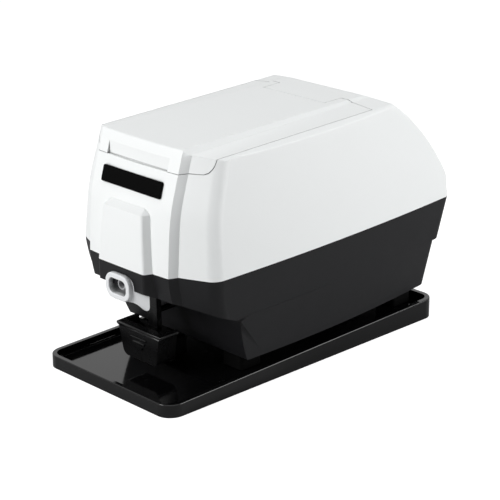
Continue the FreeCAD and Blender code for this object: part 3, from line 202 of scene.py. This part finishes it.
finishes = {
    # painted shade darkens the white shell in its seams and gaps, such as the lid's rear seam
    "white_shell": lookOf((0.86, 0.875, 0.87), (0.84, 0.855, 0.85), 0.42, seamGrime=0.65),
    "black_shell": lookOf((0.008, 0.008, 0.009), (0.011, 0.011, 0.012), 0.42, specular=0.22),
    "black_gloss": lookOf((0.0015, 0.0015, 0.0018), (0.003, 0.003, 0.003), 0.08, grain=0.03, specular=0.36),
    # painted shade darkens the spout inside its mouth and along its neck
    "white_spout": lookOf((0.80, 0.81, 0.82), (0.76, 0.77, 0.78), 0.3, seamGrime=0.8, seamReach=0.008),
    "button_black": lookOf((0.002, 0.002, 0.0022), (0.003, 0.003, 0.0033), 0.28, specular=0.3),
    "badge_black": lookOf((0.001, 0.001, 0.001), (0.0015, 0.0015, 0.0015), 0.5, specular=0.02, grain=0.05),
    "rubber": lookOf((0.0025, 0.0025, 0.0025), (0.004, 0.004, 0.004), 0.75, specular=0.03),
    "seal_rubber": lookOf((0.30, 0.06, 0.04), (0.26, 0.05, 0.035), 0.6),
    "steel": lookOf((0.55, 0.55, 0.56), (0.48, 0.48, 0.49), 0.3, metallic=1.0),
    "zinc_sheet": lookOf((0.55, 0.57, 0.60), (0.45, 0.47, 0.50), 0.45, metallic=1.0),
    "aluminium": lookOf((0.72, 0.73, 0.74), (0.62, 0.63, 0.64), 0.38, metallic=1.0),
    "brass": lookOf((0.72, 0.52, 0.22), (0.62, 0.44, 0.18), 0.3, metallic=1.0),
    "copper": lookOf((0.70, 0.33, 0.17), (0.55, 0.24, 0.12), 0.32, metallic=1.0),
    "lamination": lookOf((0.22, 0.22, 0.23), (0.16, 0.16, 0.17), 0.5, metallic=1.0),
    "nylon": lookOf((0.72, 0.70, 0.62), (0.66, 0.64, 0.56), 0.5),
    "nozzle_grey": lookOf((0.33, 0.33, 0.34), (0.28, 0.28, 0.29), 0.45),
    "grey_plastic": lookOf((0.10, 0.10, 0.11), (0.13, 0.13, 0.14), 0.55),
}


def makeFinish(name, look, surfaceGroup):
    mat, tree, shader, _ = newMaterial(name)
    # the surface group paints shade into the colour where the look asks for it
    group = addNode(tree, "ShaderNodeGroup", node_tree=surfaceGroup, inputs={
        "Colour": (*look["colour"], 1), "Deep Colour": (*look["deep"], 1),
        "Drift": look["drift"], "Drift Scale": look["driftScale"], "Grain Scale": look["grainScale"],
        "Roughness": look["roughness"], "Roughness Drift": look["roughnessDrift"],
        "Edge Wear": look["edgeWear"], "Seam Grime": look["seamGrime"], "Seam Reach": look["seamReach"]})
    bump = addNode(tree, "ShaderNodeBump", {
        "Strength": look["grain"], "Distance": look["grainDepth"], "Height": group.outputs["Height"]})
    feed(tree, shader, {
        "Base Color": group.outputs["Colour"], "Roughness": group.outputs["Roughness"],
        "Normal": bump.outputs["Normal"], "Metallic": look["metallic"],
        "Specular IOR Level": look["specular"]})
    return mat


surfaceGroup = handledSurface(wearAndPaintedShadeDetail)
materials = {name: makeFinish(name + "Finish", look, surfaceGroup) for name, look in finishes.items()}
for name, obj in nodes.items():
    obj.data.materials.clear()
    obj.data.materials.append(materials[slotOf[name]])
print("materials:", len(materials))


weldReach = 0.00001   # points of one corner are closer than this
flatAngle = 0.4       # faces that meet at less are one flat face, degrees
crispAngle = 14.0     # a shell's edge that turns further is crisp, degrees
grownCrisp = 30.0     # the same for screws, plates and wire


def meshOf(node):
    # welded copy of a node's mesh, without the imported normals
    bm = bmesh.new()
    bm.from_mesh(nodes[node].data)
    bmesh.ops.remove_doubles(bm, verts=bm.verts, dist=weldReach)
    bmesh.ops.dissolve_limit(bm, angle_limit=math.radians(flatAngle), verts=bm.verts, edges=bm.edges)
    return bm


def place(bm, name, node):
    # edges marked as not smooth stay crisp, the others are shaded by the size of their faces
    mesh = bpy.data.meshes.new(name)
    for face in bm.faces:
        face.smooth = True
    bm.to_mesh(mesh)
    bm.free()
    mesh.materials.append(materials[slotOf[node]])
    obj = bpy.data.objects.new(name, mesh)
    bpy.context.scene.collection.objects.link(obj)
    weighted = obj.modifiers.new("faceWeights", "WEIGHTED_NORMAL")
    weighted.keep_sharp = True
    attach(obj, bodyOf[node])
    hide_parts(node)
    return obj


def crease(edge):
    # how far the surface turns over an edge, degrees
    return math.degrees(edge.calc_face_angle(0.0)) if len(edge.link_faces) == 2 else 0.0


def within(edge, limits):
    # whether an edge's middle, its length and its turn are all inside the limits that are given
    middle = (edge.verts[0].co + edge.verts[1].co) / 2
    measures = {"side": abs(middle.x), "depth": middle.y, "height": middle.z,
                "length": edge.calc_length(), "turn": crease(edge)}
    return all(low < measures[key] < high for key, (low, high) in limits.items())


noLimit = 1000.0

# Each piece's rounded edges: how wide, in how many steps, and which of its crisp edges.
softPieces = {
    "top_housing": None,   # only shaded softly
    "reservoir_lid": {"radius": 0.0012, "steps": 3, "edges": {      # the long side edges of its top
        "side": (0.042, 0.0505), "height": (0.1895, noLimit), "length": (0.1, noLimit)}},
    "base_housing": {"radius": 0.0006, "steps": 3, "edges": {       # the chin's edges across the front
        "depth": (-noLimit, -0.05), "height": (-noLimit, 0.07), "length": (0.1, noLimit)}},
    "push_button": {"radius": 0.0006, "steps": 3, "edges": {        # the cup's and the stem's longer edges
        "height": (-noLimit, 0.045), "length": (0.012, noLimit)}},
    "badge_plate": {"radius": 0.0003, "steps": 3, "edges": {}},     # all of them
    "spout": {"radius": 0.0009, "steps": 3, "edges": {              # the mouth's rims
        "depth": (-noLimit, -0.1365), "turn": (60, noLimit)}},
}
softPanel = {   # the raised front panel is soft all over; the foot of its bevel turns further and is crisp
    "side": (-noLimit, 0.034), "depth": (-noLimit, -0.105), "height": (0.103, 0.156), "turn": (0, 36)}


def soften(bm, look):
    # rounds the piece's chosen edges and marks its other crisp edges as sharp
    crisp = [edge for edge in bm.edges if crease(edge) > crispAngle]
    chosen = [edge for edge in crisp if look and within(edge, look["edges"])]
    for edge in bm.edges:
        edge.smooth = True
    for edge in set(crisp) - set(chosen):
        edge.smooth = within(edge, softPanel)
    if chosen:
        bmesh.ops.bevel(bm, geom=chosen, offset=look["radius"], offset_type="OFFSET", segments=look["steps"],
                        profile=0.5, affect="EDGES", clamp_overlap=False, material=-1)
    return len(chosen)


for node, look in softPieces.items():
    shell = meshOf(node)
    edgeCount = soften(shell, look)
    print(node, edgeCount, "edges rounded,", len(shell.faces), "faces")
    place(shell, node + "Soft", node)


def geometryTree(name, sizes, counts=()):
    # a tree for a shape that stands on each point that it is given
    tree = bpy.data.node_groups.new(name, "GeometryNodeTree")
    newSockets(tree, "INPUT", "Geometry", "Geometry")
    newSockets(tree, "INPUT", "Float", *sizes)
    newSockets(tree, "INPUT", "Int", *counts)
    newSockets(tree, "INPUT", "Rotation", "Turn")
    newSockets(tree, "INPUT", "Material", "Material")
    newSockets(tree, "OUTPUT", "Geometry", "Geometry")
    return tree, addNode(tree, "NodeGroupInput").outputs


def raised(tree, mesh, rise):
    # a mesh moved along its own Z
    shift = addNode(tree, "ShaderNodeCombineXYZ", {"Z": rise})
    moved = addNode(tree, "GeometryNodeTransform", {"Geometry": mesh, "Translation": shift.outputs["Vector"]})
    return moved.outputs["Geometry"]


def joined(tree, kind, socket, meshes, **settings):
    # a node that takes several meshes on one socket
    node = addNode(tree, kind, **settings)
    for mesh in meshes:
        tree.links.new(mesh, node.inputs[socket])
    return node


def onPoints(tree, points, copy, turn=(0, 0, 0)):
    spread = addNode(tree, "GeometryNodeInstanceOnPoints", {
        "Points": points, "Instance": copy, "Rotation": turn})
    return spread.outputs["Instances"]


def rowOf(tree, given, copy):
    # copies one behind the other
    step = addNode(tree, "ShaderNodeCombineXYZ", {"Z": given["Pitch"]})
    row = addNode(tree, "GeometryNodeMeshLine", {"Count": given["Count"], "Offset": step.outputs["Vector"]})
    return onPoints(tree, row.outputs["Mesh"], copy)


def closeTree(tree, given, copy):
    # the shape on each point, turned, as real geometry with its material
    spread = onPoints(tree, given["Geometry"], copy, given["Turn"])
    real = addNode(tree, "GeometryNodeRealizeInstances", {"Geometry": spread})
    paint = addNode(tree, "GeometryNodeSetMaterial", {
        "Geometry": real.outputs["Geometry"], "Material": given["Material"]})
    addNode(tree, "NodeGroupOutput", {"Geometry": paint.outputs["Geometry"]})
    return tree


def grow(name, tree, points, values, node, replaced=True):
    # what a tree makes on the points, as one plain mesh that stands for a node or adds to it
    mesh = bpy.data.meshes.new(name + "Points")
    mesh.from_pydata([tuple(point) for point in points], [], [])
    source = bpy.data.objects.new(name + "Points", mesh)
    bpy.context.scene.collection.objects.link(source)
    repeat = source.modifiers.new("repeat", "NODES")
    repeat.node_group = tree
    values = dict(values, Material=materials[slotOf[node]])
    for item in tree.interface.items_tree:
        if item.in_out == "INPUT" and item.name in values:
            repeat[item.identifier] = values[item.name]
    depsgraph = bpy.context.evaluated_depsgraph_get()
    final = bpy.data.meshes.new_from_object(source.evaluated_get(depsgraph))
    final.name = name
    bpy.data.objects.remove(source)
    final.shade_smooth()
    final.set_sharp_from_angle(angle=math.radians(grownCrisp))
    obj = bpy.data.objects.new(name, final)
    bpy.context.scene.collection.objects.link(obj)
    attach(obj, bodyOf[node])
    if replaced:
        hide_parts(node)
    print(name, len(final.polygons), "faces")


def looseParts(node):
    # lowest and highest corner of the box around each loose part of a node's mesh
    bm = meshOf(node)
    seen = set()
    boxes = []
    for first in bm.verts:
        if first in seen:
            continue
        seen.add(first)
        part = [first]
        for vert in part:
            for edge in vert.link_edges:
                other = edge.other_vert(vert)
                if other not in seen:
                    seen.add(other)
                    part.append(other)
        low = Vector([min(vert.co[axis] for vert in part) for axis in range(3)])
        high = Vector([max(vert.co[axis] for vert in part) for axis in range(3)])
        boxes.append((low, high))
    bm.free()
    return boxes


panScrew = {
    "headRadius": 0.0029,
    "headHeight": 0.002,
    "headFill": 0.98,         # share of that height which the head takes up
    "shankRadius": 0.0015,
    "shankOverlap": 0.0002,   # how far the shank reaches into the head
    "tipPlay": 0.0002,
    "seatDepth": 0.55,        # shares of the head's height
    "domeDepth": 0.46,
    "domeRise": 0.54,
    "domeTop": 0.72,          # shares of the head's radius
    "domeFoot": 0.999,
    "crossLong": 1.15,
    "crossThin": 0.2,
    "headSides": 24,
    "shankSides": 16,
}
screwSets = {"joint_screws": -1, "plate_screws": -1, "mounting_screws": 1}   # 1: heads up, -1: heads down


def screwTree(shape):
    # pan head screw with a cross recess on each point; its head looks along local +Z
    tree, given = geometryTree("panHeadScrews", (
        "Head Radius", "Head Height", "Shank Radius", "Shank Length"))
    radius, height = given["Head Radius"], given["Head Height"]
    seat = addNode(tree, "GeometryNodeMeshCylinder", {
        "Vertices": shape["headSides"], "Radius": radius,
        "Depth": calc(tree, "MULTIPLY", height, shape["seatDepth"])})
    dome = addNode(tree, "GeometryNodeMeshCone", {
        "Vertices": shape["headSides"],
        "Radius Top": calc(tree, "MULTIPLY", radius, shape["domeTop"]),
        "Radius Bottom": calc(tree, "MULTIPLY", radius, shape["domeFoot"]),
        "Depth": calc(tree, "MULTIPLY", height, shape["domeDepth"])})
    shank = addNode(tree, "GeometryNodeMeshCylinder", {
        "Vertices": shape["shankSides"], "Radius": given["Shank Radius"], "Depth": given["Shank Length"]})
    seatRise = calc(tree, "MULTIPLY", height, shape["seatDepth"] / 2)
    domeRise = calc(tree, "MULTIPLY", height, shape["domeRise"])
    shankRise = calc(tree, "MULTIPLY_ADD", given["Shank Length"], -0.5, shape["shankOverlap"])
    solid = joined(tree, "GeometryNodeMeshBoolean", "Mesh 2", operation="UNION", meshes=(
        raised(tree, seat.outputs["Mesh"], seatRise),
        raised(tree, dome.outputs["Mesh"], domeRise),
        raised(tree, shank.outputs["Mesh"], shankRise)))
    bars = []   # the two bars of the cross
    for long, thin in (("X", "Y"), ("Y", "X")):
        size = addNode(tree, "ShaderNodeCombineXYZ", {
            long: calc(tree, "MULTIPLY", radius, shape["crossLong"]),
            thin: calc(tree, "MULTIPLY", radius, shape["crossThin"]), "Z": height})
        bar = addNode(tree, "GeometryNodeMeshCube", {"Size": size.outputs["Vector"]})
        bars.append(raised(tree, bar.outputs["Mesh"], height))
    cross = joined(tree, "GeometryNodeMeshBoolean", "Mesh 2", bars, operation="UNION")
    cut = addNode(tree, "GeometryNodeMeshBoolean", {
        "Mesh 1": solid.outputs["Mesh"], "Mesh 2": cross.outputs["Mesh"]}, operation="DIFFERENCE")
    return closeTree(tree, given, cut.outputs["Mesh"])


def growScrews(node, facing, tree, shape):
    # one piece for each length of screw in the set
    sameLength = {}
    for low, high in looseParts(node):
        length = round((high.z - low.z) * 1000)   # whole millimetres
        sameLength.setdefault(length, []).append((low, high))
    turn = (lean if facing > 0 else math.pi + lean, 0, 0)
    headRoom = shape["headRadius"] * math.sin(lean) + shape["headHeight"]
    for length, boxes in sameLength.items():
        seats = []   # undersides of the heads
        for low, high in boxes:
            reach = (high.z - low.z) / 2 / math.cos(lean) - headRoom
            seats.append((low + high) / 2 + upward * reach * facing)
        tall = boxes[0][1].z - boxes[0][0].z
        grow(node + "Pan" + str(length), tree, seats, {
            "Head Radius": shape["headRadius"], "Head Height": shape["headHeight"] * shape["headFill"],
            "Shank Radius": shape["shankRadius"],
            "Shank Length": tall - shape["headHeight"] - shape["tipPlay"], "Turn": turn}, node)


screws = screwTree(panScrew)
for node, facing in screwSets.items():
    growScrews(node, facing, screws, panScrew)

laminations = {
    "count": 40,
    "corner": 0.005,
    "bore": 0.0155,
    "play": 0.0001,          # narrower than the stack's box
    "thicknessShare": 0.8,   # shares of one plate's room in the stack
    "pitchShare": 0.995,
    "cornerSteps": 5,
    "boreSteps": 40,
}


def plateTree(shape):
    # rounded square plates with a round hole, one behind the other
    tree, given = geometryTree("stackedPlates", ("Width", "Corner", "Hole", "Thickness", "Pitch"), ("Count",))
    square = addNode(tree, "GeometryNodeCurvePrimitiveQuadrilateral", {
        "Width": given["Width"], "Height": given["Width"]})
    rounded = addNode(tree, "GeometryNodeFilletCurve", mode="POLY", inputs={
        "Curve": square.outputs["Curve"], "Radius": given["Corner"], "Count": shape["cornerSteps"]})
    hole = addNode(tree, "GeometryNodeCurvePrimitiveCircle", {
        "Radius": given["Hole"], "Resolution": shape["boreSteps"]})
    outlines = joined(tree, "GeometryNodeJoinGeometry", "Geometry", (
        rounded.outputs["Curve"], hole.outputs["Curve"]))
    sheet = addNode(tree, "GeometryNodeFillCurve", {"Curve": outlines.outputs["Geometry"]}).outputs["Mesh"]
    rise = addNode(tree, "ShaderNodeCombineXYZ", {"Z": given["Thickness"]})
    thick = addNode(tree, "GeometryNodeExtrudeMesh", {
        "Mesh": sheet, "Offset": rise.outputs["Vector"], "Individual": False})
    under = addNode(tree, "GeometryNodeFlipFaces", {"Mesh": sheet})
    solid = joined(tree, "GeometryNodeJoinGeometry", "Geometry", (
        thick.outputs["Mesh"], under.outputs["Mesh"]))
    weld = addNode(tree, "GeometryNodeMergeByDistance", {
        "Geometry": solid.outputs["Geometry"], "Distance": weldReach})
    return closeTree(tree, given, rowOf(tree, given, weld.outputs["Geometry"]))


def lengthOf(low, high):
    # length of a leaning block from front to rear, from its upright box
    return (high.y - low.y) - (high.z - low.z) * math.sin(lean)


def growLaminations(node, shape):
    low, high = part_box(node)
    length = lengthOf(low, high)
    room = length / shape["count"]
    grow("statorLaminations", plateTree(shape), [(low + high) / 2 + rearward * length / 2], {
        "Width": high.x - low.x - shape["play"], "Corner": shape["corner"], "Hole": shape["bore"],
        "Thickness": room * shape["thicknessShare"], "Pitch": room * shape["pitchShare"],
        "Count": shape["count"], "Turn": facingFront}, node)


growLaminations("stator_stack", laminations)

coils = {
    "count": 6,
    "wireRadius": 0.0005,
    "pitch": 0.00112,
    "inset": 0.0012,        # from the coil's rear end to its first turn
    "turnSteps": 48,
    "wireSteps": 8,
}


def windingTree(shape):
    # rings of round wire, one behind the other
    tree, given = geometryTree("wireTurns", ("Radius", "Wire", "Pitch"), ("Count",))
    ring = addNode(tree, "GeometryNodeCurvePrimitiveCircle", {
        "Radius": given["Radius"], "Resolution": shape["turnSteps"]})
    profile = addNode(tree, "GeometryNodeCurvePrimitiveCircle", {
        "Radius": given["Wire"], "Resolution": shape["wireSteps"]})
    tube = addNode(tree, "GeometryNodeCurveToMesh", {
        "Curve": ring.outputs["Curve"], "Profile Curve": profile.outputs["Curve"]})
    return closeTree(tree, given, rowOf(tree, given, tube.outputs["Mesh"]))


def growCoils(node, shape):
    tree = windingTree(shape)
    for number, (low, high) in enumerate(looseParts(node)):
        rear = (low + high) / 2 + rearward * (lengthOf(low, high) / 2 - shape["inset"])
        grow("coilTurns" + str(number), tree, [rear], {
            "Radius": (high.x - low.x) / 2, "Wire": shape["wireRadius"], "Pitch": shape["pitch"],
            "Count": shape["count"], "Turn": facingFront}, node, replaced=False)


growCoils("stator_coils", coils)


def returnSpring(node):
    # the return spring as a smooth-shaded copy of its node's mesh, on mesh data of its own
    bm = meshOf(node)
    coil = place(bm, "returnSpringCoil", node)
    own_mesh(coil)


returnSpring("return_spring")

floorLook = {
    "colour": (0.55, 0.55, 0.55),
    "roughness": 0.9,
    "glow": 0.8,
    "size": 6.0,
    "drop": 0.0002,   # just below the tray
}
airLook = {"colour": (0.93, 0.96, 1.0), "strength": 0.14, "backdrop": (1, 1, 1)}
lamps = {
    "sideBox": {"from": (1.36, 0.95, 0.62), "to": (0, 0, 0.1), "size": (0.8, 0.9), "power": 20.0},
    "frontBox": {"from": (-0.42, -1.55, 0.85), "to": (0, 0, 0.1), "size": (0.8, 0.8), "power": 23.4},
    "topBox": {"from": (0.0, 0.2, 1.6), "to": (0, 0, 0.1), "size": (1.2, 1.2), "power": 6.4},
}
cameraLook = {
    "place": (0.9616, -0.9203, 0.5571),
    "azimuth": 46.1506,
    "elevation": 19.7826,
    "roll": -0.179,
    "lens": 124.585,
    "sensor": 36.0,
    "sight": 20.0,   # nothing further off is drawn
}


def seenBy(tree, *kinds):
    # 1 for the kinds of ray that are named, 0 for all others
    rays = addNode(tree, "ShaderNodeLightPath").outputs
    seen = rays[kinds[0]]
    for kind in kinds[1:]:
        seen = calc(tree, "MAXIMUM", seen, rays[kind])
    return seen


def makeFloor(look):
    half = look["size"] / 2
    corners = [(x, y, -look["drop"]) for x, y in ((-half, -half), (half, -half), (half, half), (-half, half))]
    mesh = bpy.data.meshes.new("floor")
    mesh.from_pydata(corners, [], [(0, 1, 2, 3)])
    floor = bpy.data.objects.new("floor", mesh)
    bpy.context.scene.collection.objects.link(floor)
    mat, tree, shader, out = newMaterial("paleFloor")
    feed(tree, shader, {"Base Color": (*look["colour"], 1), "Roughness": look["roughness"]})
    seen = seenBy(tree, "Is Camera Ray", "Is Transmission Ray")
    glow = addNode(tree, "ShaderNodeEmission", {"Strength": calc(tree, "MULTIPLY", seen, look["glow"])})
    both = addNode(tree, "ShaderNodeAddShader", {0: shader.outputs["BSDF"], 1: glow.outputs["Emission"]})
    feed(tree, out, {"Surface": both.outputs["Shader"]})
    mesh.materials.append(mat)


def makeAir(look):
    # soft daylight on the machine, and a white backdrop wherever the surroundings themselves are seen
    world = bpy.data.worlds.new("studioAir")
    bpy.context.scene.world = world
    world.use_nodes = True
    tree = world.node_tree
    tree.nodes.clear()
    air = addNode(tree, "ShaderNodeBackground", {"Color": (*look["colour"], 1), "Strength": look["strength"]})
    white = addNode(tree, "ShaderNodeBackground", {"Color": (*look["backdrop"], 1), "Strength": 1.0})
    pick = addNode(tree, "ShaderNodeMixShader", {
        0: seenBy(tree, "Is Camera Ray", "Is Transmission Ray", "Is Glossy Ray"),
        1: air.outputs["Background"], 2: white.outputs["Background"]})
    addNode(tree, "ShaderNodeOutputWorld", {"Surface": pick.outputs["Shader"]})


def makeLamp(name, look):
    lamp = bpy.data.lights.new(name, "AREA")
    lamp.shape = "RECTANGLE"
    lamp.size, lamp.size_y = look["size"]
    lamp.energy = look["power"]
    obj = bpy.data.objects.new(name, lamp)
    start, aim = Vector(look["from"]), Vector(look["to"])
    obj.location = start
    obj.rotation_mode = "QUATERNION"
    obj.rotation_quaternion = (aim - start).to_track_quat("-Z", "Y")
    bpy.context.scene.collection.objects.link(obj)


def makeCamera(look):
    camera = bpy.data.cameras.new("mainCamera")
    camera.lens = look["lens"]
    camera.sensor_width = look["sensor"]
    camera.clip_end = look["sight"]
    azimuth, elevation, roll = (math.radians(look[key]) for key in ("azimuth", "elevation", "roll"))
    level = math.cos(elevation)
    back = Vector((math.sin(azimuth) * level, -math.cos(azimuth) * level, math.sin(elevation)))
    right = Vector((math.cos(azimuth), math.sin(azimuth), 0))
    up = back.cross(right)
    rolledRight = right * math.cos(roll) + up * math.sin(roll)
    rolledUp = up * math.cos(roll) - right * math.sin(roll)
    turn = Matrix((rolledRight, rolledUp, back)).transposed()
    obj = bpy.data.objects.new("mainCamera", camera)
    obj.matrix_world = Matrix.Translation(look["place"]) @ turn.to_4x4()
    bpy.context.scene.collection.objects.link(obj)
    bpy.context.scene.camera = obj


makeFloor(floorLook)
makeAir(airLook)
for name, look in lamps.items():
    makeLamp(name, look)
makeCamera(cameraLook)
bpy.context.scene.view_settings.view_transform = "Standard"
print("studio ready")
